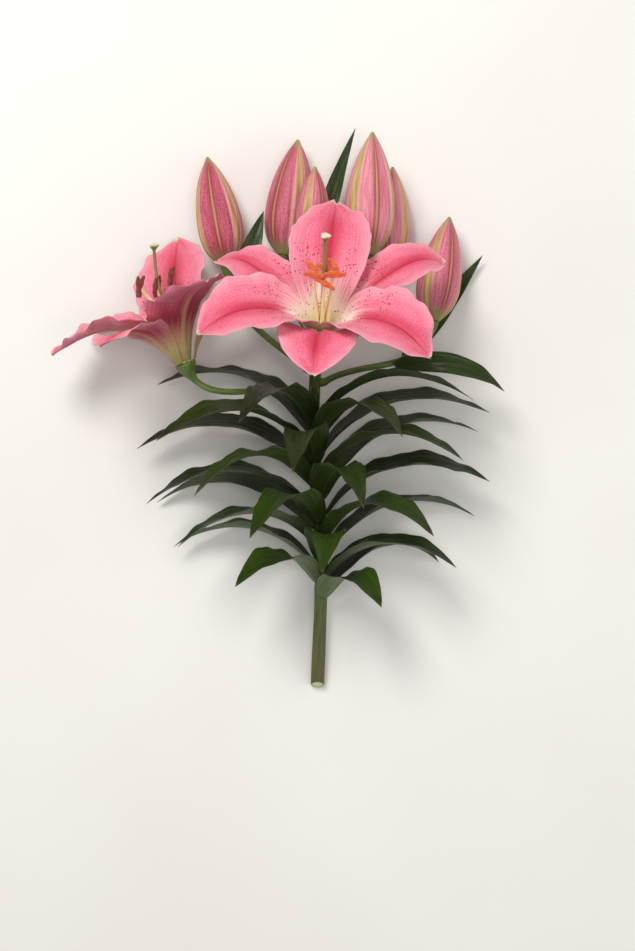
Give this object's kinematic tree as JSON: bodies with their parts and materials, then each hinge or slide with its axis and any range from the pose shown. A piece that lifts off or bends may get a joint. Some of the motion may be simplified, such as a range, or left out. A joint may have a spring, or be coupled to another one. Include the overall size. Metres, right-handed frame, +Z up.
{
  "type": "cut lily stem",
  "caption": "Cut lily stem lying on its side, with narrow drooping leaves up the stem, wide open trumpet-shaped flowers and closed pointed buds at the head.",
  "frame": {"origin": "middle of the bottom of the whole stem's box, on the surface that the stem lies on", "axes": "+Y along the stem from the cut foot to the flowers, +Z up off the surface, +X to the right seen from above"},
  "size_m": [0.3596, 0.455, 0.1874],
  "materials": {
    "stem": "satin",
    "stalk": "satin",
    "leaf": "satin",
    "bract": "satin",
    "tepal": "satin",
    "stamen": "matte",
    "pistil": "satin",
    "bud": "satin"
  },
  "bodies": {
    "root": {"stem": "stem", "leaf_01": "leaf", "leaf_02": "leaf", "leaf_03": "leaf", "leaf_04": "leaf", "leaf_05": "leaf", "leaf_06": "leaf", "leaf_07": "leaf", "leaf_08": "leaf", "leaf_09": "leaf", "leaf_10": "leaf", "leaf_11": "leaf", "leaf_12": "leaf", "leaf_13": "leaf", "leaf_14": "leaf", "leaf_15": "leaf", "leaf_16": "leaf", "leaf_17": "leaf", "leaf_18": "leaf", "leaf_19": "leaf", "leaf_20": "leaf", "leaf_21": "leaf", "leaf_22": "leaf", "leaf_23": "leaf", "leaf_24": "leaf", "leaf_25": "leaf", "stalk_front": "stalk", "tepal_front_1": "tepal", "tepal_front_2": "tepal", "tepal_front_3": "tepal", "tepal_front_4": "tepal", "tepal_front_5": "tepal", "tepal_front_6": "tepal", "stamens_front": "stamen", "pistil_front": "pistil", "stalk_side": "stalk", "tepal_side_1": "tepal", "tepal_side_2": "tepal", "tepal_side_3": "tepal", "tepal_side_4": "tepal", "tepal_side_5": "tepal", "tepal_side_6": "tepal", "stamens_side": "stamen", "pistil_side": "pistil", "stalk_left": "stalk", "bud_left": "bud", "stalk_back": "stalk", "bud_back": "bud", "stalk_middle": "stalk", "bud_middle": "bud", "stalk_upper_right": "stalk", "bud_upper_right": "bud", "stalk_outer_right": "stalk", "bud_outer_right": "bud", "stalk_far_right": "stalk", "bud_far_right": "bud", "bract_1": "bract", "bract_2": "bract", "bract_3": "bract", "bract_4": "bract"}
  },
  "joints": []
}
